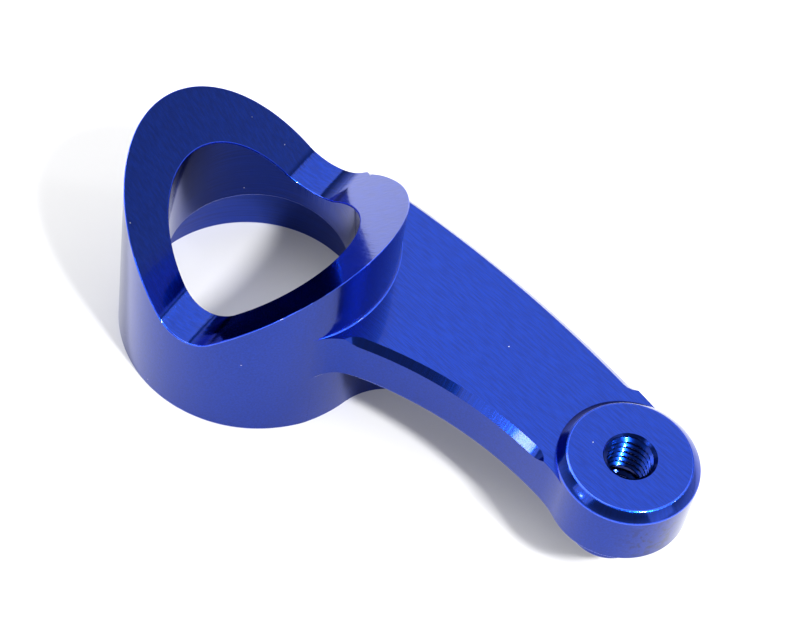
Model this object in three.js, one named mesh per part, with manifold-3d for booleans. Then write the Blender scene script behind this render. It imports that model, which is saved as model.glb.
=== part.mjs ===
// A swing arm milled from one piece of aluminium: a ring with a V-shaped seat across its top, a curved
// arm, and a boss with a threaded hole. Millimetres, +Z up. The solid is drawn with its origin on the
// ring's axis, on the plane that the ring stands on, and with +X from the ring to the boss. The last
// lines move it so that the origin is in the middle of its length.
import * as THREE from 'three';
import { mergeVertices, toCreasedNormals } from 'three/addons/utils/BufferGeometryUtils.js';
import Module from 'manifold-3d';

const wasm = await Module();
wasm.setup();

const ROUND = 96; // facets in a full circle
const OVERRUN = 1; // how far a cutter runs past the face it cuts
const CREASE = THREE.MathUtils.degToRad(20); // a sharper corner than this is shaded as an edge

// Ring
const RING_R = 13.6;
const BORE_R = 9.21;
const SKIRT_R = 12.37; // inside of the thin skirt below the bore
const SKIRT_H = 8.55;

// V seat across the ring's top: two faces at 45 degrees with a round root
const V_BASE = 9.61; // height at which the two faces would meet
const V_ROOT_R = 4.21;
const V_TURN = THREE.MathUtils.degToRad(2.5); // the seat is turned this far from square to the arm
const PEAK_H = V_BASE + RING_R;

// Arm
const ARM_BOTTOM = SKIRT_H;
const ARM_TOP = 14.04;
const NEAR_R = 41.24; // the near flank is hollow
const NEAR_AT = new THREE.Vector2(25.44, -44.57);
const FAR_R = 134.24; // the far flank is full, and touches the ring at its far side
const FAR_AT = new THREE.Vector2(0, RING_R - FAR_R);
const RING_BLEND = 6.14;
const BOSS_BLEND = 8.77;
const CHAMFER = 0.72;
const NEAR_CHAMFER = [14.2, 36]; // from x, to x
const FAR_CHAMFER = [2.6, 38.8];
const NEAR_STEP = THREE.MathUtils.degToRad(1.5); // one facet of the near flank
const FAR_STEP = THREE.MathUtils.degToRad(0.5);
const ROOF_FILLET = 1.05; // under the arm, against the ring

// Boss and the round foot below it
const ARM_LENGTH = 42.42; // ring axis to hole axis
const BOSS_AT = new THREE.Vector2(ARM_LENGTH, 0);
const BOSS_R = 6.84;
const BOSS_TOP = 15.49;
const BOSS_CHAMFER = 0.88;
const FOOT_R = 3.95;
const FOOT_Z = 3.6;

// Hole for an M5 thread, open at both ends
const CREST_R = 2.07;
const RELIEF_R = 2.5;
const RELIEF_Z = [9.43, 10.53];
const MOUTH_R = 2.59;
const MOUTH_DEPTH = 0.5;

// Web under the arm, on the line halfway between its flanks
const WEB = 3.5;
const WEB_STEPS = 12;

const polar = (centre, radius, angle) =>
  new THREE.Vector2(Math.cos(angle), Math.sin(angle)).multiplyScalar(radius).add(centre);
const angleFrom = (centre, point) => Math.atan2(point.y - centre.y, point.x - centre.x);

// The angles from one to the other that fall on whole steps, with the two ends.
function facets(from, to, step) {
  const angles = [from];
  for (let k = Math.floor(from / step) + 1; k * step < to - step / 4; k += 1) {
    if (k * step > from + step / 4) angles.push(k * step);
  }
  return angles.concat(to);
}

// The point at distance r1 from c1 and r2 from c2, on the left (1) or right (-1) of the line c1-c2.
function crossing(c1, r1, c2, r2, side) {
  const gap = c1.distanceTo(c2);
  const along = (gap * gap + r1 * r1 - r2 * r2) / (2 * gap);
  const across = side * Math.sqrt(r1 * r1 - along * along);
  const u = c2.clone().sub(c1).normalize();
  return c1.clone().addScaledVector(u, along).add(new THREE.Vector2(-u.y, u.x).multiplyScalar(across));
}

function solid(geometry) {
  const bare = geometry.clone();
  bare.deleteAttribute('normal');
  bare.deleteAttribute('uv');
  const merged = mergeVertices(bare, 1e-4);
  const corners = merged.index.array;
  const kept = [];
  for (let i = 0; i < corners.length; i += 3) {
    const [a, b, c] = corners.slice(i, i + 3);
    if (a !== b && b !== c && c !== a) kept.push(a, b, c);
  }
  const vertProperties = new Float32Array(merged.attributes.position.array);
  return new wasm.Manifold(new wasm.Mesh({ numProp: 3, vertProperties, triVerts: new Uint32Array(kept) }));
}

// A shape in plan, raised from one height to another.
function prism(shape, from, to) {
  const geometry = new THREE.ExtrudeGeometry(shape, {
    depth: to - from, bevelEnabled: false, curveSegments: ROUND / 2,
  });
  return solid(geometry.translate(0, 0, from));
}

// A profile of [radius, height] corners, going anticlockwise, turned about an upright axis.
function turned(profile, at = new THREE.Vector2(), facets = ROUND) {
  const points = profile.map(([r, z]) => new THREE.Vector2(r, z));
  const geometry = new THREE.LatheGeometry(points.concat(points[0]), facets);
  return solid(geometry.rotateX(Math.PI / 2).translate(at.x, at.y, 0));
}

// The same profile swept through part of a turn, by way of the given angles.
function swept(profile, at, angles) {
  const corners = angles.flatMap((angle) => profile.flatMap(([r, z]) => [...polar(at, r, angle), z]));
  const n = profile.length;
  const last = angles.length - 1;
  const corner = (i, j) => i * n + (j % n);
  const faces = [];
  for (let i = 0; i < last; i += 1) {
    for (let j = 0; j < n; j += 1) {
      faces.push(corner(i, j), corner(i + 1, j), corner(i + 1, j + 1));
      faces.push(corner(i, j), corner(i + 1, j + 1), corner(i, j + 1));
    }
  }
  const flat = profile.map(([r, z]) => new THREE.Vector2(r, z));
  THREE.ShapeUtils.triangulateShape(flat, []).forEach(([a, b, c]) => {
    faces.push(corner(0, a), corner(0, b), corner(0, c));
    faces.push(corner(last, a), corner(last, c), corner(last, b));
  });
  const geometry = new THREE.BufferGeometry();
  geometry.setAttribute('position', new THREE.Float32BufferAttribute(corners, 3));
  geometry.setIndex(faces);
  return solid(geometry);
}

// The arm in plan, anticlockwise from the ring's far side, with a hollow blend at each join.
function armOutline() {
  const origin = new THREE.Vector2();
  const farBlend = crossing(FAR_AT, FAR_R + BOSS_BLEND, BOSS_AT, BOSS_R + BOSS_BLEND, 1);
  const nearBlend = crossing(NEAR_AT, NEAR_R - BOSS_BLEND, BOSS_AT, BOSS_R + BOSS_BLEND, 1);
  const ringBlend = crossing(NEAR_AT, NEAR_R - RING_BLEND, origin, RING_R + RING_BLEND, -1);
  const nearEnd = angleFrom(NEAR_AT, nearBlend);
  const nearTop = angleFrom(NEAR_AT, ringBlend);
  const farEnd = angleFrom(FAR_AT, farBlend);
  const shape = new THREE.Shape();
  const arc = (at, r, from, to, clockwise) => shape.absarc(at.x, at.y, r, from, to, clockwise);
  const flank = (at, r, angles) => angles.forEach((a) => shape.lineTo(...polar(at, r, a)));
  shape.moveTo(0, RING_R);
  shape.lineTo(0, 0);
  arc(ringBlend, RING_BLEND, angleFrom(ringBlend, origin), nearTop, true);
  flank(NEAR_AT, NEAR_R, facets(nearEnd, nearTop, NEAR_STEP).reverse());
  arc(nearBlend, BOSS_BLEND, nearEnd, angleFrom(nearBlend, BOSS_AT), true);
  arc(BOSS_AT, BOSS_R, angleFrom(BOSS_AT, nearBlend), angleFrom(BOSS_AT, farBlend), false);
  arc(farBlend, BOSS_BLEND, angleFrom(farBlend, BOSS_AT), angleFrom(farBlend, FAR_AT), true);
  flank(FAR_AT, FAR_R, facets(farEnd, Math.PI / 2, FAR_STEP));
  return shape;
}

// Height in plan of the line halfway between the two flanks.
function middle(x) {
  const near = NEAR_AT.y + Math.sqrt(NEAR_R ** 2 - (x - NEAR_AT.x) ** 2);
  const far = FAR_AT.y + Math.sqrt(FAR_R ** 2 - (x - FAR_AT.x) ** 2);
  return (near + far) / 2;
}

function webOutline() {
  const start = RING_R + RING_BLEND;
  const end = ARM_LENGTH - FOOT_R / 2;
  const side = (offset) => Array.from({ length: WEB_STEPS + 1 }, (_, i) => {
    const x = start + ((end - start) * i) / WEB_STEPS;
    return new THREE.Vector2(x, middle(x) + offset);
  });
  const near = side(-WEB / 2);
  const far = side(WEB / 2).reverse();
  const nearHollow = crossing(new THREE.Vector2(), RING_R + RING_BLEND, near[0], RING_BLEND, -1);
  const farHollow = crossing(new THREE.Vector2(), RING_R + RING_BLEND, far.at(-1), RING_BLEND, 1);
  const shape = new THREE.Shape();
  shape.moveTo(BORE_R, middle(BORE_R));
  shape.lineTo(SKIRT_R, 0);
  shape.absarc(nearHollow.x, nearHollow.y, RING_BLEND, angleFrom(nearHollow, new THREE.Vector2()),
    angleFrom(nearHollow, near[0]), true);
  near.forEach((p) => shape.lineTo(p.x, p.y));
  shape.lineTo(BOSS_AT.x, BOSS_AT.y);
  far.forEach((p) => shape.lineTo(p.x, p.y));
  shape.absarc(farHollow.x, farHollow.y, RING_BLEND, angleFrom(farHollow, far.at(-1)),
    angleFrom(farHollow, new THREE.Vector2()), true);
  shape.closePath();
  return shape;
}

// The web's lower edge climbs from the ring's base to the foot's face.
function web() {
  const wedge = new THREE.Shape();
  wedge.moveTo(RING_R, 0);
  wedge.lineTo(ARM_LENGTH, FOOT_Z);
  wedge.lineTo(ARM_LENGTH, -OVERRUN);
  wedge.lineTo(RING_R, -OVERRUN);
  const side = new THREE.ExtrudeGeometry(wedge, { depth: 2 * RING_R, bevelEnabled: false });
  const cutter = solid(side.rotateX(Math.PI / 2).translate(0, RING_R, 0));
  return prism(webOutline(), 0, ARM_BOTTOM + OVERRUN).subtract(cutter);
}

function vCutter() {
  const rise = PEAK_H + OVERRUN - V_BASE;
  const shape = new THREE.Shape();
  shape.moveTo(rise, V_BASE + rise);
  shape.lineTo(-rise, V_BASE + rise);
  shape.absarc(0, V_BASE + V_ROOT_R * Math.SQRT2, V_ROOT_R, -0.75 * Math.PI, -0.25 * Math.PI, false);
  shape.closePath();
  const geometry = new THREE.ExtrudeGeometry(shape, {
    depth: 4 * RING_R, bevelEnabled: false, curveSegments: ROUND / 4,
  });
  return solid(geometry.rotateX(Math.PI / 2).translate(0, 2 * RING_R, 0).rotateZ(V_TURN));
}

// The bore, and the wider space inside the skirt.
function boreCutter() {
  return turned([
    [0, -OVERRUN], [SKIRT_R, -OVERRUN], [SKIRT_R, SKIRT_H], [BORE_R, SKIRT_H],
    [BORE_R, PEAK_H + OVERRUN], [0, PEAK_H + OVERRUN],
  ]);
}

// A wedge swept along a flank; side is 1 where the arm lies outside the flank's circle.
function chamferCutter(at, r, side, [fromX, toX], step) {
  const corners = [
    [r, ARM_TOP - CHAMFER], [r + side * CHAMFER, ARM_TOP], [r + side * (CHAMFER + OVERRUN), ARM_TOP + OVERRUN],
    [r - side * OVERRUN, ARM_TOP + OVERRUN], [r - side * OVERRUN, ARM_TOP - CHAMFER],
  ];
  const angles = facets(Math.acos((toX - at.x) / r), Math.acos((fromX - at.x) / r), step);
  return swept(side > 0 ? corners : corners.reverse(), at, angles);
}

// The hollow corner left by a round-nosed cutter between the arm's underside and the ring's wall.
function roofFillet() {
  const steps = 6;
  const profile = [[RING_R - OVERRUN, ARM_BOTTOM - ROOF_FILLET]];
  for (let i = 0; i <= steps; i += 1) {
    const angle = Math.PI - (i / steps) * (Math.PI / 2);
    const r = RING_R + ROOF_FILLET * (1 + Math.cos(angle));
    profile.push([r, ARM_BOTTOM - ROOF_FILLET * (1 - Math.sin(angle))]);
  }
  profile.push([RING_R + ROOF_FILLET, ARM_BOTTOM + OVERRUN], [RING_R - OVERRUN, ARM_BOTTOM + OVERRUN]);
  return turned(profile).intersect(prism(armOutline(), ARM_BOTTOM - 2 * ROOF_FILLET, ARM_TOP));
}

function boss() {
  return turned([
    [0, FOOT_Z], [FOOT_R, FOOT_Z], [FOOT_R, ARM_BOTTOM], [BOSS_R, ARM_BOTTOM],
    [BOSS_R, BOSS_TOP - BOSS_CHAMFER], [BOSS_R - BOSS_CHAMFER, BOSS_TOP], [0, BOSS_TOP],
  ], BOSS_AT);
}

function holeCutter() {
  const [low, high] = RELIEF_Z;
  return turned([
    [0, FOOT_Z - OVERRUN], [CREST_R, FOOT_Z - OVERRUN], [CREST_R, low], [RELIEF_R, low], [RELIEF_R, high],
    [CREST_R, high], [CREST_R, BOSS_TOP - MOUTH_DEPTH], [MOUTH_R, BOSS_TOP],
    [MOUTH_R, BOSS_TOP + OVERRUN], [0, BOSS_TOP + OVERRUN],
  ], BOSS_AT, ROUND / 2);
}

function swingArm() {
  const blank = turned([[0, 0], [RING_R, 0], [RING_R, PEAK_H], [0, PEAK_H]])
    .add(prism(armOutline(), ARM_BOTTOM, ARM_TOP))
    .add(roofFillet())
    .add(web())
    .add(boss());
  return blank
    .subtract(chamferCutter(NEAR_AT, NEAR_R, 1, NEAR_CHAMFER, NEAR_STEP))
    .subtract(chamferCutter(FAR_AT, FAR_R, -1, FAR_CHAMFER, FAR_STEP))
    .subtract(boreCutter())
    .subtract(vCutter())
    .subtract(holeCutter());
}

function toGeometry(manifold) {
  const { vertProperties, triVerts } = manifold.getMesh();
  const geometry = new THREE.BufferGeometry();
  geometry.setAttribute('position', new THREE.BufferAttribute(vertProperties, 3));
  geometry.setIndex(new THREE.BufferAttribute(triVerts, 1));
  return toCreasedNormals(geometry, CREASE);
}

const blueAnodised = new THREE.MeshStandardMaterial({ color: 0x1f3fb0, roughness: 0.28, metalness: 1 });

const part = new THREE.Mesh(toGeometry(swingArm()), blueAnodised);
part.name = 'swing_arm';
part.position.x = (RING_R - ARM_LENGTH - BOSS_R) / 2;

const group = new THREE.Group();
group.add(part);
export default group;
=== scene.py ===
"""Looks for the swing arm: one detailed mesh with rounded edges, tool run-outs and a cut M5 thread, in
blue anodised aluminium, on a white table in soft studio light.

The shape is built in millimetres about the ring's axis, from the same dimensions as the CAD model, and
then it is scaled to metres and moved to the frame's origin.
"""

import math

import bmesh
import bpy
from mathutils import Matrix, Vector


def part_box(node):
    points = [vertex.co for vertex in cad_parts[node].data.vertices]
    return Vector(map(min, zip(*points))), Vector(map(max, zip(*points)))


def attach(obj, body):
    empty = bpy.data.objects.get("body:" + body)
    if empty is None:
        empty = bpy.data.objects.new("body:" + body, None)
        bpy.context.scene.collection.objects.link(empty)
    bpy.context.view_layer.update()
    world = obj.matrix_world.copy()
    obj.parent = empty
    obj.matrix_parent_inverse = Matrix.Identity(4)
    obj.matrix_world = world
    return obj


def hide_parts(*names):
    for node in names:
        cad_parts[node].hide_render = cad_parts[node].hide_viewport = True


MM = 0.001
CHORD = 0.3  # length of one facet on a curved wall
OVERRUN = 1  # how far a cutter runs past the face it cuts
CLEAR = 0.05  # the same for a cutter that has a wall close by
SAME = 0.01  # heights closer than this are one height

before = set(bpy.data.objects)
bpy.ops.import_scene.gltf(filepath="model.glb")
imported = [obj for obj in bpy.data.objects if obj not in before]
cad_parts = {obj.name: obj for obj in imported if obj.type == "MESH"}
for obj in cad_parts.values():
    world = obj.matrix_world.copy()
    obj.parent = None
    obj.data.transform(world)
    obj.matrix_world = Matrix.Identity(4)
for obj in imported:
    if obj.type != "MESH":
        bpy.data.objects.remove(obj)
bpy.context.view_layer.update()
low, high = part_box("swing_arm")

# Ring
RING_R = (high.y - low.y) / 2 / MM
RING_X = low.x / MM + RING_R  # where the ring's axis is in the frame
BORE_R = 9.21
SKIRT_R = 12.37
SKIRT_H = 8.55

# V seat
PEAK_H = (high.z - low.z) / MM
V_BASE = PEAK_H - RING_R
V_ROOT_R = 4.21
V_TURN = math.radians(2.5)  # the seat isn't quite square to the arm

# Arm
ARM_BOTTOM = SKIRT_H
ARM_TOP = 14.04
NEAR_R = 41.24
NEAR_AT = Vector((25.44, -44.57))
FAR_R = 134.24
FAR_AT = Vector((0, RING_R - FAR_R))
RING_BLEND = 6.14
BOSS_BLEND = 8.77
ROOF_FILLET = 1.05
ROOF_FACET = math.radians(10)  # one facet of the fillet under the arm
ROOF_START = RING_R - 0.02  # that fillet starts just inside the ring's wall
ARM_SIDE = (1.5 * math.pi, 0.6 * math.pi)  # the angles round the ring that the arm's roots lie between

# Chamfers along the two flanks, cut by a cone that runs beside each flank
CHAMFER = 0.72
CONE_GAP = 1.05  # from the flank to the cone's axis
NEAR_CHAMFER = (14.1, 34.7)  # how far along the arm the cone starts and stops
FAR_CHAMFER = (2.6, 37.7)

# Boss, foot and web
BOSS_R = 6.84
BOSS_AT = Vector(((high.x - low.x) / MM - RING_R - BOSS_R, 0))
BOSS_TOP = 15.49
BOSS_CHAMFER = 0.88
FOOT_R = 3.95
FOOT_Z = 3.6
WEB = 3.5
WEB_STEPS = 24  # facets along each side of the web

# M5 thread
PITCH = 0.8
CREST_R = 2.07
ROOT_R = 2.5
MOUTH_R = 2.59
RELIEF_Z = (9.43, 10.53)
ROOT_FLAT = 0.25  # from the middle of the thread's root to its flank, as a share of half a pitch
FLANK = 0.625  # the flank, as a share of half a pitch
FOOT_MOUTH = 0.2  # how much wider than the thread the hole opens under the foot
TAP_FACETS = 96
TAP_LAYERS = 20  # in one pitch

# Edges
EDGE = 0.12  # radius on edges that the cutter left sharp and the polishing broke
CORNER = 0.2  # radius in the hollow corner where the arm's top meets the ring
BESIDE_RING = RING_R + 0.05  # what lies further than this from the ring's axis isn't on its wall
GROWTH = 2  # the length over which a radius grows from nothing
NEAR_TIP_GAP = 0.5  # no radius closer than this to the arm's near tip, and the same for its far tip
FAR_TIP_GAP = 2.5
SHARP = math.radians(24)  # an edge that bends more than this gets a radius
SMOOTH = math.radians(40)  # an edge that bends less than this is shaded smooth
WELD = 0.002  # points closer than this are joined


# ---- Plane geometry

def polar(at, radius, angle):
    return Vector((at.x + radius * math.cos(angle), at.y + radius * math.sin(angle)))


def angle_from(at, point):
    return math.atan2(point.y - at.y, point.x - at.x)


def spread(start, end, step):
    """Values from start to end in equal steps, none longer than step."""
    count = max(1, math.ceil(abs(end - start) / step - 1e-6))
    return [start + (end - start) * i / count for i in range(count + 1)]


def arc(at, radius, start, end):
    return [polar(at, radius, a) for a in spread(start, end, CHORD / radius)]


def crossing(c1, r1, c2, r2, side):
    """The point at distance r1 from c1 and r2 from c2, left (1) or right (-1) of the line c1-c2."""
    gap = (c2 - c1).length
    along = (gap * gap + r1 * r1 - r2 * r2) / (2 * gap)
    across = side * math.sqrt(r1 * r1 - along * along)
    u = (c2 - c1).normalized()
    return c1 + u * along + Vector((-u.y, u.x)) * across


def full_turn(radius, keys):
    """Angles round a whole circle that include the given ones."""
    keys = sorted(k % math.tau for k in keys)
    angles = []
    for a, b in zip(keys, keys[1:] + [keys[0] + math.tau]):
        angles += spread(a, b, CHORD / radius)[:-1]
    return angles


ORIGIN = Vector((0, 0))
ring_blend_at = crossing(NEAR_AT, NEAR_R - RING_BLEND, ORIGIN, RING_R + RING_BLEND, -1)
near_blend_at = crossing(NEAR_AT, NEAR_R - BOSS_BLEND, BOSS_AT, BOSS_R + BOSS_BLEND, 1)
far_blend_at = crossing(FAR_AT, FAR_R + BOSS_BLEND, BOSS_AT, BOSS_R + BOSS_BLEND, 1)


# ---- Solids

def make_object(name, verts, faces):
    mesh = bpy.data.meshes.new(name)
    mesh.from_pydata([tuple(v) for v in verts], [], faces)
    bm = bmesh.new()
    bm.from_mesh(mesh)
    bmesh.ops.recalc_face_normals(bm, faces=bm.faces)
    bm.to_mesh(mesh)
    bm.free()
    obj = bpy.data.objects.new(name, mesh)
    bpy.context.scene.collection.objects.link(obj)
    return obj


def stack(name, loops):
    """A solid through a stack of closed loops of equal length, with a flat face at each end."""
    n = len(loops[0])
    verts = [p for loop in loops for p in loop]
    faces = [tuple(range(n)), tuple(range(len(verts) - n, len(verts)))]
    for k in range(len(loops) - 1):
        for i in range(n):
            j = (i + 1) % n
            faces.append((k * n + i, k * n + j, (k + 1) * n + j, (k + 1) * n + i))
    return make_object(name, verts, faces)


def prism(name, outline, bottom, top):
    return stack(name, [[(p.x, p.y, z) for p in outline] for z in (bottom, top)])


def turned(name, profile, at, angles):
    """A profile of (radius, height) from the lower end face to the upper one, turned about at."""
    return stack(name, [[(*polar(at, r, a), z) for a in angles] for r, z in profile])


def combine(body, tool, operation):
    """Joins tool to body or cuts it away, and removes tool."""
    modifier = body.modifiers.new("combine", "BOOLEAN")
    modifier.operation = operation
    modifier.solver = "MANIFOLD"
    modifier.object = tool
    apply_modifiers(body)
    bpy.data.objects.remove(tool)


def apply_modifiers(obj):
    graph = bpy.context.evaluated_depsgraph_get()
    mesh = bpy.data.meshes.new_from_object(obj.evaluated_get(graph))
    obj.modifiers.clear()
    obj.data = mesh


# ---- Sub-parts

def ring_angles():
    """Facets of the ring, with one boundary at each place where the arm's walls leave it."""
    return full_turn(RING_R, [0, angle_from(ORIGIN, ring_blend_at), math.pi / 2])


def ring():
    return turned("ring", [(RING_R, 0), (RING_R, PEAK_H)], ORIGIN, ring_angles())


def boss():
    keys = [angle_from(BOSS_AT, near_blend_at), angle_from(BOSS_AT, far_blend_at)]
    profile = [
        (FOOT_R, FOOT_Z), (FOOT_R, ARM_BOTTOM), (BOSS_R, ARM_BOTTOM),
        (BOSS_R, BOSS_TOP - BOSS_CHAMFER), (BOSS_R - BOSS_CHAMFER, BOSS_TOP),
    ]
    return turned("boss", profile, BOSS_AT, full_turn(BOSS_R, keys))


def arm():
    """The arm in plan, with a hollow blend into the ring and two into the boss."""
    near_start = angle_from(NEAR_AT, ring_blend_at)
    near_end = angle_from(NEAR_AT, near_blend_at)
    far_end = angle_from(FAR_AT, far_blend_at)
    outline = [polar(ORIGIN, BORE_R, math.pi / 2), polar(ORIGIN, BORE_R, angle_from(ORIGIN, ring_blend_at))]
    outline += arc(ring_blend_at, RING_BLEND, angle_from(ring_blend_at, ORIGIN) % math.tau, near_start)
    outline += arc(NEAR_AT, NEAR_R, near_start, near_end)[1:]
    outline += arc(near_blend_at, BOSS_BLEND, near_end, angle_from(near_blend_at, BOSS_AT))[1:]
    outline += [BOSS_AT]
    outline += arc(far_blend_at, BOSS_BLEND, angle_from(far_blend_at, BOSS_AT),
                   angle_from(far_blend_at, FAR_AT))
    outline += arc(FAR_AT, FAR_R, far_end, math.pi / 2)[1:]
    body = prism("arm", outline, ARM_BOTTOM - ROOF_FILLET, ARM_TOP)
    combine(body, roof_cutter(), "DIFFERENCE")
    return body


def arm_side_angles():
    """The facet boundaries on the arm's side of the ring, in order round the ring."""
    angles = ring_angles()
    return [a for a in angles if a > ARM_SIDE[0]] + [a for a in angles if a < ARM_SIDE[1]]


def roof_cutter():
    """Clears the space under the arm, and leaves a hollow corner against the ring's wall."""
    outside = BOSS_AT.x + 2 * BOSS_R
    under = ARM_BOTTOM - ROOF_FILLET - OVERRUN
    hollow = [
        (ROOF_START + ROOF_FILLET * (1 - math.cos(t)), ARM_BOTTOM - ROOF_FILLET * (1 - math.sin(t)))
        for t in spread(0, math.pi / 2, ROOF_FACET)
    ]
    section = [(ROOF_START, under)] + hollow + [(outside, ARM_BOTTOM), (outside, under)]
    sections = [[(*polar(ORIGIN, r, a), z) for r, z in section] for a in arm_side_angles()]
    return stack("roof", sections)


def middle(x):
    """Height in plan of the line halfway between the two flanks."""
    near = NEAR_AT.y + math.sqrt(NEAR_R**2 - (x - NEAR_AT.x) ** 2)
    far = FAR_AT.y + math.sqrt(FAR_R**2 - (x - FAR_AT.x) ** 2)
    return (near + far) / 2


def web():
    """A rib under the arm, whose lower edge climbs from the ring's base to the foot."""
    start = RING_R + RING_BLEND
    xs = [start + (BOSS_AT.x - FOOT_R / 2 - start) * i / WEB_STEPS for i in range(WEB_STEPS + 1)]
    near = [Vector((x, middle(x) - WEB / 2)) for x in xs]
    far = [Vector((x, middle(x) + WEB / 2)) for x in reversed(xs)]
    near_hollow = crossing(ORIGIN, RING_R + RING_BLEND, near[0], RING_BLEND, -1)
    far_hollow = crossing(ORIGIN, RING_R + RING_BLEND, far[-1], RING_BLEND, 1)
    near_turn = (angle_from(near_hollow, ORIGIN), angle_from(near_hollow, near[0]))
    far_turn = (angle_from(far_hollow, far[-1]), angle_from(far_hollow, ORIGIN))
    outline = [Vector((BORE_R, middle(BORE_R)))]
    outline += arc(near_hollow, RING_BLEND, *near_turn)
    outline += near[1:] + [BOSS_AT] + far
    outline += arc(far_hollow, RING_BLEND, *far_turn)[1:]
    body = prism("web", outline, -OVERRUN, ARM_BOTTOM + OVERRUN)
    wedge = [(-RING_R, 0), (RING_R, 0), (BOSS_AT.x, FOOT_Z), (BOSS_AT.x + OVERRUN, -2 * OVERRUN),
             (-RING_R, -2 * OVERRUN)]
    cutter = stack("climb", [[(x, y, z) for x, z in wedge] for y in (-RING_R, RING_R)])
    combine(body, cutter, "DIFFERENCE")
    return body


def v_cutter():
    rise = PEAK_H + OVERRUN - V_BASE
    root = V_BASE + V_ROOT_R * math.sqrt(2)
    section = [Vector((-rise, V_BASE + rise))]
    section += arc(Vector((0, root)), V_ROOT_R, -0.75 * math.pi, -0.25 * math.pi)
    section += [Vector((rise, V_BASE + rise))]
    cutter = stack("v", [[(p.x, y, p.y) for p in section] for y in (-2 * RING_R, 2 * RING_R)])
    cutter.data.transform(Matrix.Rotation(V_TURN, 4, "Z"))
    return cutter


def bore_cutter():
    profile = [(SKIRT_R, -OVERRUN), (SKIRT_R, SKIRT_H), (BORE_R, SKIRT_H), (BORE_R, PEAK_H + OVERRUN)]
    return turned("bore", profile, ORIGIN, ring_angles())


def cut_chamfer(body, at, radius, side, angles):
    """Runs a cone along a flank. side is 1 where the arm lies outside the flank's circle."""
    path = radius - side * CONE_GAP
    lower = ARM_TOP - CHAMFER
    section = [
        (path, lower), (radius, lower), (radius + side * (CHAMFER + CLEAR), ARM_TOP + CLEAR),
        (path, ARM_TOP + CLEAR),
    ]
    sections = [[(*polar(at, r, a), z) for r, z in section] for a in angles]
    combine(body, stack("chamfer", sections), "DIFFERENCE")
    for a in (angles[0], angles[-1]):
        cone = [(CONE_GAP, lower), (CONE_GAP + CHAMFER + CLEAR, ARM_TOP + CLEAR)]
        tool = turned("cone", cone, polar(at, path, a), full_turn(CONE_GAP, [a]))
        combine(body, tool, "DIFFERENCE")


def flank_angles(at, radius, start, end, reach):
    """The facet boundaries of a flank that lie between two distances along the arm."""
    angles = spread(start, end, CHORD / radius)
    return [a for a in angles if reach[0] <= at.x + radius * math.cos(a) <= reach[1]]


def cut_chamfers(body):
    near_start = angle_from(NEAR_AT, ring_blend_at)
    near_end = angle_from(NEAR_AT, near_blend_at)
    near = flank_angles(NEAR_AT, NEAR_R, near_start, near_end, NEAR_CHAMFER)
    cut_chamfer(body, NEAR_AT, NEAR_R, 1, near)
    far_end = angle_from(FAR_AT, far_blend_at)
    far = flank_angles(FAR_AT, FAR_R, far_end, math.pi / 2, FAR_CHAMFER)
    cut_chamfer(body, FAR_AT, FAR_R, -1, far)


def thread_radius(turn, z):
    """Radius of the hole's wall: a 60 degree thread with a relief band, and a countersink at each end."""
    phase = (z / PITCH - turn) % 1
    from_root = abs(phase - 0.5) * 2
    climb = min(max((from_root - ROOT_FLAT) / FLANK, 0), 1)
    wall = ROOT_R - (ROOT_R - CREST_R) * climb
    if RELIEF_Z[0] < z < RELIEF_Z[1]:
        wall = ROOT_R
    return max(wall, MOUTH_R - (BOSS_TOP - z), ROOT_R + FOOT_MOUTH - (z - FOOT_Z))


def tap():
    """The hole's whole inside, thread and all."""
    angles = spread(0, math.tau, math.tau / TAP_FACETS)[:-1]
    heights = spread(FOOT_Z - OVERRUN, BOSS_TOP + OVERRUN, PITCH / TAP_LAYERS)
    loops = [
        [(*polar(BOSS_AT, thread_radius(a / math.tau, z), a), z) for a in angles]
        for z in heights
    ]
    return stack("tap", loops)


def swing_arm():
    body = ring()
    for part in (arm(), boss(), web()):
        combine(body, part, "UNION")
    cut_chamfers(body)
    combine(body, bore_cutter(), "DIFFERENCE")
    combine(body, v_cutter(), "DIFFERENCE")
    round_edges(body)
    combine(body, tap(), "DIFFERENCE")
    return body


def grown(distance, start):
    """How much of its radius an edge has: none up to start, and all of it from GROWTH further on."""
    return min(1, max(0, (distance - start) / GROWTH))


def edge_radius(centre):
    """The radius on an edge: none on the chamfers' edges, and none where the arm runs out on the ring."""
    near_tip = polar(ORIGIN, RING_R, angle_from(ORIGIN, ring_blend_at))
    far_tip = Vector((FAR_CHAMFER[0] + CHAMFER, RING_R))
    room = min(grown((centre.xy - near_tip).length, NEAR_TIP_GAP),
               grown((centre.xy - far_tip).length, FAR_TIP_GAP))
    beside_ring = centre.xy.length > BESIDE_RING
    if abs(centre.z - ARM_TOP) < SAME and not beside_ring:
        return CORNER * room
    if beside_ring and abs(centre.z - ARM_TOP + CHAMFER / 2) < CHAMFER:
        return 0
    if beside_ring and abs(centre.z - ARM_BOTTOM + ROOF_FILLET / 2) < ROOF_FILLET:
        return EDGE * min(room, grown(centre.xy.length - RING_R - ROOF_FILLET, 0))
    return EDGE * room


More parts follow.
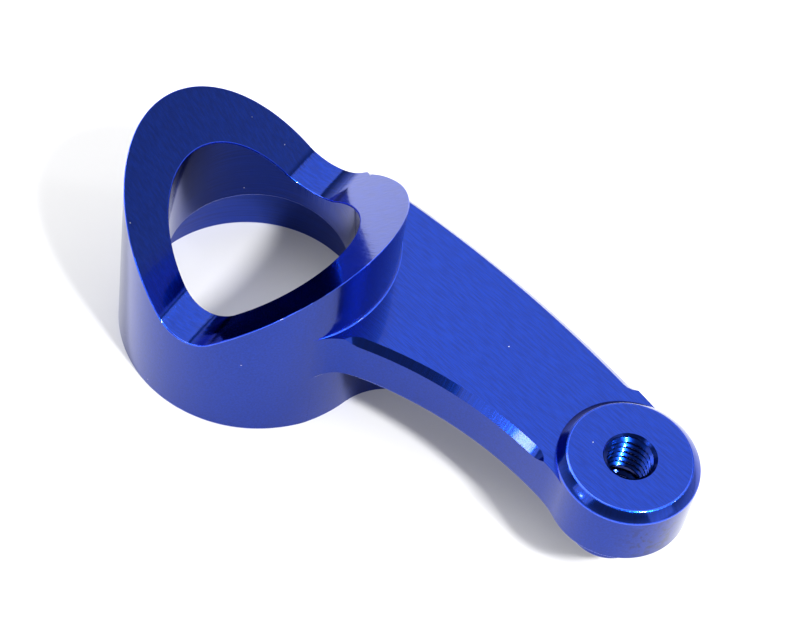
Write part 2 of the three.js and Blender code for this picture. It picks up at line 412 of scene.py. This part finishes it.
def round_edges(body):
    """Breaks the sharp edges, and leaves the new faces in material slot 1 of two empty slots."""
    bm = bmesh.new()
    bm.from_mesh(body.data)
    bmesh.ops.remove_doubles(bm, verts=bm.verts, dist=WELD)
    bmesh.ops.dissolve_degenerate(bm, edges=bm.edges, dist=WELD)
    weight = bm.edges.layers.float.new("bevel_weight_edge")
    for edge in bm.edges:
        if len(edge.link_faces) == 2 and edge.calc_face_angle(0) > SHARP:
            edge[weight] = edge_radius((edge.verts[0].co + edge.verts[1].co) / 2) / CORNER
    bm.to_mesh(body.data)
    bm.free()
    body.data.materials.clear()
    for _ in range(2):
        body.data.materials.append(None)
    bevel = body.modifiers.new("edges", "BEVEL")
    bevel.material = 1
    bevel.limit_method = "WEIGHT"
    bevel.width = CORNER
    bevel.segments = 3
    bevel.use_clamp_overlap = False
    apply_modifiers(body)


# ---- Regions of the surface, each with the marks of the tool that cut it

LEVEL = 0.9  # a face whose normal rises more than this lies flat
SLOPING = 0.5  # and one between this and LEVEL slopes
UPRIGHT = 0.3  # and one that rises less than this is a wall
ALONG_SEAT = 0.1  # the seat's faces lean less than this along its length
SEAT_REACH = RING_R + 1.5  # how far from the ring's axis the seat is cut
CHAMFERS_FROM = RING_R - 2  # how far along the arm the chamfers' own finish starts


def region(centre, normal):
    """The finish of a face, from where it is and which way it faces."""
    from_ring = centre.xy.length
    from_boss = (centre.xy - BOSS_AT).length
    across = Matrix.Rotation(-V_TURN, 3, "Z") @ normal
    level = normal.z > LEVEL
    if from_boss < MOUTH_R + EDGE and not (level and centre.z > BOSS_TOP - EDGE):
        return "thread"
    if from_ring < SKIRT_R + EDGE and abs(normal.z) < UPRIGHT:
        return "bore"
    if from_ring < SEAT_REACH and abs(across.y) < ALONG_SEAT and normal.z > SLOPING and centre.z < PEAK_H:
        if centre.z > ARM_TOP + 2 * EDGE or abs(centre.x) < ARM_TOP - V_BASE:
            return "seat"
    if level and centre.z > ARM_TOP - EDGE:
        return "milled"
    sloping = SLOPING < normal.z < LEVEL
    if sloping and centre.x > CHAMFERS_FROM and centre.z > ARM_TOP - CHAMFER - EDGE:
        return "chamfer" if centre.z < ARM_TOP else "rim"
    return "wall"


# ---- Materials

class Nodes:
    """Adds and links shader nodes in one line each."""

    def __init__(self, owner):
        owner.use_nodes = True
        self.tree = owner.node_tree
        self.tree.nodes.clear()

    def add(self, kind, inputs=None, **settings):
        node = self.tree.nodes.new(kind)
        for key, value in settings.items():
            setattr(node, key, value)
        for key, value in (inputs or {}).items():
            if isinstance(value, bpy.types.NodeSocket):
                self.tree.links.new(value, node.inputs[key])
            else:
                node.inputs[key].default_value = value
        return node

    def math(self, operation, *values):
        return self.add("ShaderNodeMath", dict(enumerate(values)), operation=operation).outputs[0]

    def vector(self, operation, *values):
        return self.add("ShaderNodeVectorMath", dict(enumerate(values)), operation=operation).outputs[0]

    def remap(self, value, source, target):
        """Carries value from one range to another, and keeps it inside."""
        inputs = {0: value, 1: source[0], 2: source[1], 3: target[0], 4: target[1]}
        return self.add("ShaderNodeMapRange", inputs).outputs[0]


def object_mm(nodes):
    """Coordinates in millimetres from the ring's axis."""
    where = nodes.add("ShaderNodeTexCoord").outputs["Object"]
    scaled = nodes.vector("MULTIPLY", where, (1 / MM,) * 3)
    return nodes.vector("ADD", scaled, (-RING_X, 0, 0))


def streaks(nodes, where, scale, detail=2.0):
    """Noise drawn out into lines: scale is lines per millimetre along each axis."""
    stretched = nodes.vector("MULTIPLY", where, scale)
    noise = nodes.add("ShaderNodeTexNoise", {"Vector": stretched, "Scale": 1.0, "Detail": detail})
    return noise.outputs["Fac"]


def about(nodes, where, at, radius):
    """Coordinates of a wall round an axis: distance along the wall, distance out, and height."""
    moved = nodes.vector("ADD", where, (-at.x, -at.y, 0))
    x, y, z = nodes.add("ShaderNodeSeparateXYZ", {0: moved}).outputs
    along = nodes.math("MULTIPLY", nodes.math("ARCTAN2", y, x), radius)
    out = nodes.math("SQRT", nodes.math("ADD", nodes.math("POWER", x, 2.0), nodes.math("POWER", y, 2.0)))
    return nodes.add("ShaderNodeCombineXYZ", {0: along, 1: out, 2: z}).outputs[0]


def turned_back(nodes, where, angle):
    """Coordinates turned about the vertical, so that lines at an angle to the arm run along x."""
    inputs = {0: where, "Angle": angle}
    return nodes.add("ShaderNodeVectorRotate", inputs, rotation_type="Z_AXIS").outputs[0]


BLUE = (0.0025, 0.035, 0.36)
DYE = 0.15  # how much the dye's depth varies between the tool marks
MILL_STEP = 0.54  # from one milling line to the next
MILL_RIDGE = 0.06  # the lines' share of the relief
MILL_TURN = math.radians(10)  # from the arm's length to the milling lines on its top
GRAIN = 9.0  # grains of the oxide in a millimetre
GRAIN_SHARE = 0.25  # of the relief
RELIEF = (0.4, 0.85)  # the relief's usual range
UNEVEN = (0.9, 1.15)  # how much the roughness varies with the grain
COAT_ROUGHNESS = 0.06
COAT_IOR = 1.5
DUST = (0.8, 0.8, 0.85, 1)
DUST_SCALE = 0.35  # cells in a millimetre, with one grain of dust in each
DUST_SIZE = 0.02  # radius of a grain, as a share of its cell
STAIN_AT = (*polar(BOSS_AT, BOSS_R, math.radians(-32)), ARM_BOTTOM + 3)
STAIN_FADE = (1.5, 4.0)  # the distances over which the stain dies away
STAIN_BLOTCH = (0.5, 0.58)  # the noise where a blotch starts, and where it is full
STAIN_DEPTH = 0.55  # the share of the dye's colour that a full blotch takes away


def specks(nodes, where):
    """The few grains of dust that the surface passes through: 1 on a grain and 0 elsewhere."""
    cells = nodes.add("ShaderNodeTexVoronoi", {"Vector": where, "Scale": DUST_SCALE})
    return nodes.math("LESS_THAN", cells.outputs["Distance"], DUST_SIZE)


def anodised(name, marks, depth, roughness, gloss=0.45, dye_and_painted_light=1.0, stain=None):
    """Dyed oxide over bright aluminium. marks(nodes, where) gives the height of the tool marks. The value
    that scales the blue is painted shade where it is below 1 and partly a painted highlight where it is
    above 1.
    """
    material = bpy.data.materials.new(name)
    nodes = Nodes(material)
    where = object_mm(nodes)
    grain = streaks(nodes, where, (GRAIN,) * 3, 3.0)
    height = nodes.math("ADD", marks(nodes, where), nodes.math("MULTIPLY", grain, GRAIN_SHARE))
    bump = nodes.add("ShaderNodeBump", {"Height": height, "Strength": 1.0, "Distance": depth * MM})
    shine = nodes.remap(grain, (0.0, 1.0), (roughness * UNEVEN[0], roughness * UNEVEN[1]))
    # the blue scaled per finish, which is painted shade below 1 and partly a painted highlight above 1, and
    # varied with the tool marks
    shade = nodes.remap(height, RELIEF, (dye_and_painted_light - DYE, dye_and_painted_light + DYE))
    if stain:
        shade = nodes.math("MULTIPLY", shade, stain(nodes, where))
    dyed = nodes.vector("MULTIPLY", BLUE, shade)
    speck = specks(nodes, where)
    dusty = nodes.add("ShaderNodeMix", {"Factor": speck, "A": dyed, "B": DUST}, data_type="RGBA")
    surface = nodes.add("ShaderNodeBsdfPrincipled", {
        "Base Color": dusty.outputs["Result"], "Normal": bump.outputs[0],
        "Metallic": 1.0, "Roughness": shine,
        "Coat Weight": gloss, "Coat Roughness": COAT_ROUGHNESS, "Coat IOR": COAT_IOR,
    })
    nodes.add("ShaderNodeOutputMaterial", {"Surface": surface.outputs[0]})
    return material


def milled_marks(nodes, where):
    """Even lines from one pass of the cutter to the next, over finer and less even ones."""
    along = turned_back(nodes, where, MILL_TURN)
    across = nodes.add("ShaderNodeSeparateXYZ", {0: along}).outputs[1]
    ridge = nodes.math("SINE", nodes.math("MULTIPLY", across, math.tau / MILL_STEP))
    uneven = streaks(nodes, along, (0.7, 9, 0.7), 0.0)
    return nodes.math("ADD", uneven, nodes.math("MULTIPLY", ridge, MILL_RIDGE))


def seat_marks(nodes, where):
    return streaks(nodes, turned_back(nodes, where, -V_TURN), (1, 4, 1), 1.0)


def wall_marks(nodes, where):
    return streaks(nodes, where, (5, 5, 5), 3.0)


def bore_marks(nodes, where):
    return streaks(nodes, about(nodes, where, ORIGIN, BORE_R), (0.15, 0.1, 6), 3.0)


def chamfer_marks(nodes, where):
    return streaks(nodes, about(nodes, where, NEAR_AT, NEAR_R), (5, 0.2, 0.2), 3.0)


def rim_marks(nodes, where):
    return streaks(nodes, about(nodes, where, BOSS_AT, BOSS_R), (3.5, 0.2, 0.2), 3.0)


def thread_marks(nodes, where):
    return streaks(nodes, where, (1, 1, 1))


def finger_mark(nodes, where):
    """How much of the blue shows through a blotchy mark on the boss's wall."""
    apart = nodes.add("ShaderNodeVectorMath", {0: where, 1: STAIN_AT}, operation="DISTANCE")
    near = nodes.remap(apart.outputs["Value"], STAIN_FADE, (1.0, 0.0))
    blotch = streaks(nodes, where, (1.3, 1.3, 1.3), 4.0)
    dark = nodes.remap(blotch, STAIN_BLOTCH, (0.0, STAIN_DEPTH))
    return nodes.math("SUBTRACT", 1.0, nodes.math("MULTIPLY", near, dark))


def materials():
    """The material of each region. A finish's depth is that of its tool marks, in millimetres."""
    finishes = {
        # wall: blue scaled to 0.7, painted shade that takes down the bright floor the side walls reflect;
        # the blotchy mark is a real stain
        "wall": dict(marks=wall_marks, depth=0.0008, roughness=0.17, gloss=0.22, dye_and_painted_light=0.7, stain=finger_mark),
        "milled": dict(marks=milled_marks, depth=0.0015, roughness=0.2),
        "seat": dict(marks=seat_marks, depth=0.012, roughness=0.14),
        # bore: blue scaled to 0.75, painted shade inside the ring's bore
        "bore": dict(marks=bore_marks, depth=0.004, roughness=0.16, gloss=0.3, dye_and_painted_light=0.75),
        "chamfer": dict(marks=chamfer_marks, depth=0.006, roughness=0.14),
        "rim": dict(marks=rim_marks, depth=0.006, roughness=0.14),
        # edge: blue doubled on the rounded edges and the hollow corner, partly thinner dye where polishing
        # broke the edges and partly a painted highlight
        "edge": dict(marks=wall_marks, depth=0.02, roughness=0.25, gloss=1.0, dye_and_painted_light=2.0),
        # thread: blue scaled to 0.5, painted shade deep in the threaded hole
        "thread": dict(marks=thread_marks, depth=0.001, roughness=0.2, gloss=0.2, dye_and_painted_light=0.5),
    }
    return {name: anodised("anodised_" + name, **finish) for name, finish in finishes.items()}


def finish_part(body):
    """Gives each region its material, shades it smooth, and moves the part into the frame."""
    slots = materials()
    rounded = [face.material_index == 1 for face in body.data.polygons]
    body.data.materials.clear()
    for material in slots.values():
        body.data.materials.append(material)
    index = {name: i for i, name in enumerate(slots)}
    for face, is_edge in zip(body.data.polygons, rounded):
        face.material_index = index["edge" if is_edge else region(face.center, face.normal)]
        face.use_smooth = True
    body.data.transform(Matrix.Scale(MM, 4) @ Matrix.Translation((RING_X, 0, 0)))
    normals = body.modifiers.new("normals", "WEIGHTED_NORMAL")
    normals.keep_sharp = True
    body.data.set_sharp_from_angle(angle=SMOOTH)
    apply_modifiers(body)


# ---- Studio

# The camera, in millimetres and degrees about the ring's axis
AIM = Vector((14.2, 4.35, 8.77))
CAMERA_AZIMUTH = 25.90
CAMERA_ELEVATION = 53.05
CAMERA_DISTANCE = 240.1
CAMERA_ROLL = 11.13
LENS = 109.51


def in_frame(point):
    return Vector((point.x + RING_X, point.y, point.z)) * MM


def direction(azimuth, elevation):
    """Unit vector towards a light or camera: azimuth 0 is the front, 90 the right."""
    a, e = math.radians(azimuth), math.radians(elevation)
    return Vector((math.sin(a) * math.cos(e), -math.cos(a) * math.cos(e), math.sin(e)))


def camera():
    data = bpy.data.cameras.new("camera")
    data.lens = LENS
    data.clip_start = 0.01
    obj = bpy.data.objects.new("camera", data)
    bpy.context.scene.collection.objects.link(obj)
    back = direction(CAMERA_AZIMUTH, CAMERA_ELEVATION)
    turn = back.to_track_quat("Z", "Y").to_matrix() @ Matrix.Rotation(math.radians(CAMERA_ROLL), 3, "Z")
    place = Matrix.Translation(in_frame(AIM) + back * CAMERA_DISTANCE * MM)
    obj.matrix_world = place @ turn.to_4x4()
    bpy.context.scene.camera = obj


# Each softbox: its name, azimuth and elevation in degrees, distance and size in metres, and radiance
SOFTBOXES = [
    ("overhead", 180, 68, 0.65, (1.1, 0.66), 1.32),
    ("key", 71, 54, 0.7, (0.075, 0.075), 350),
    ("rim_light", 120, 45, 0.7, (0.05, 0.05), 60),
    ("left_box", -30, 38, 0.7, (0.32, 0.32), 1.5),
    ("left_lamp", -29, 29.5, 0.7, (0.04, 0.04), 25),
    ("right_box", 85, 30, 0.7, (0.36, 0.36), 0.9),
    ("fill", -80, 70, 0.65, (0.5, 0.5), 2),
    ("left_low", -80, 40, 0.7, (0.3, 0.3), 5),
]


def softbox(name, azimuth, elevation, distance, size, radiance):
    """A lit panel of (width, height) that faces the part."""
    data = bpy.data.lights.new(name, "AREA")
    data.shape = "RECTANGLE"
    data.size, data.size_y = size
    data.energy = radiance * math.pi * size[0] * size[1]
    obj = bpy.data.objects.new(name, data)
    bpy.context.scene.collection.objects.link(obj)
    towards = direction(azimuth, elevation)
    turn = towards.to_track_quat("Z", "Y").to_matrix().to_4x4()
    obj.matrix_world = Matrix.Translation(towards * distance) @ turn


TABLE_SIZE = 6  # metres, like the next line
TABLE_GAP = 0.00005  # keeps the table clear of the part's base
TABLE_WHITE = (0.65, 0.65, 0.65, 1)
TABLE_GLOW = 0.1  # the table gives off a little light of its own


def table():
    bpy.ops.mesh.primitive_plane_add(size=TABLE_SIZE, location=(0, 0, -TABLE_GAP))
    obj = bpy.context.active_object
    obj.name = "table"
    material = bpy.data.materials.new("white_table")
    nodes = Nodes(material)
    surface = nodes.add("ShaderNodeBsdfPrincipled", {
        "Base Color": TABLE_WHITE, "Roughness": 0.7, "Emission Strength": TABLE_GLOW,
    })
    nodes.add("ShaderNodeOutputMaterial", {"Surface": surface.outputs[0]})
    obj.data.materials.append(material)


SWEEP_HEIGHT = (0.1, 0.5)  # the sines of 6 and 30 degrees
SWEEP_LIGHT = (1.0, 0.2)  # how bright the sweep is at those two


def backdrop():
    """A dim room over a white sweep, which is bright near the table and fades upward."""
    world = bpy.data.worlds.new("studio")
    bpy.context.scene.world = world
    nodes = Nodes(world)
    towards = nodes.add("ShaderNodeTexCoord").outputs["Generated"]
    rise = nodes.add("ShaderNodeSeparateXYZ", {0: towards}).outputs[2]
    glow = nodes.remap(rise, SWEEP_HEIGHT, SWEEP_LIGHT)
    light = nodes.add("ShaderNodeBackground", {"Color": (1, 1, 1, 1), "Strength": glow})
    nodes.add("ShaderNodeOutputWorld", {"Surface": light.outputs[0]})


def studio():
    bpy.context.scene.view_settings.view_transform = "Standard"
    backdrop()
    for box in SOFTBOXES:
        softbox(*box)
    table()


# ---- The scene

camera()
studio()
part = swing_arm()
finish_part(part)
part.name = "swing_arm_finished"
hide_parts("swing_arm")
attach(part, "root")
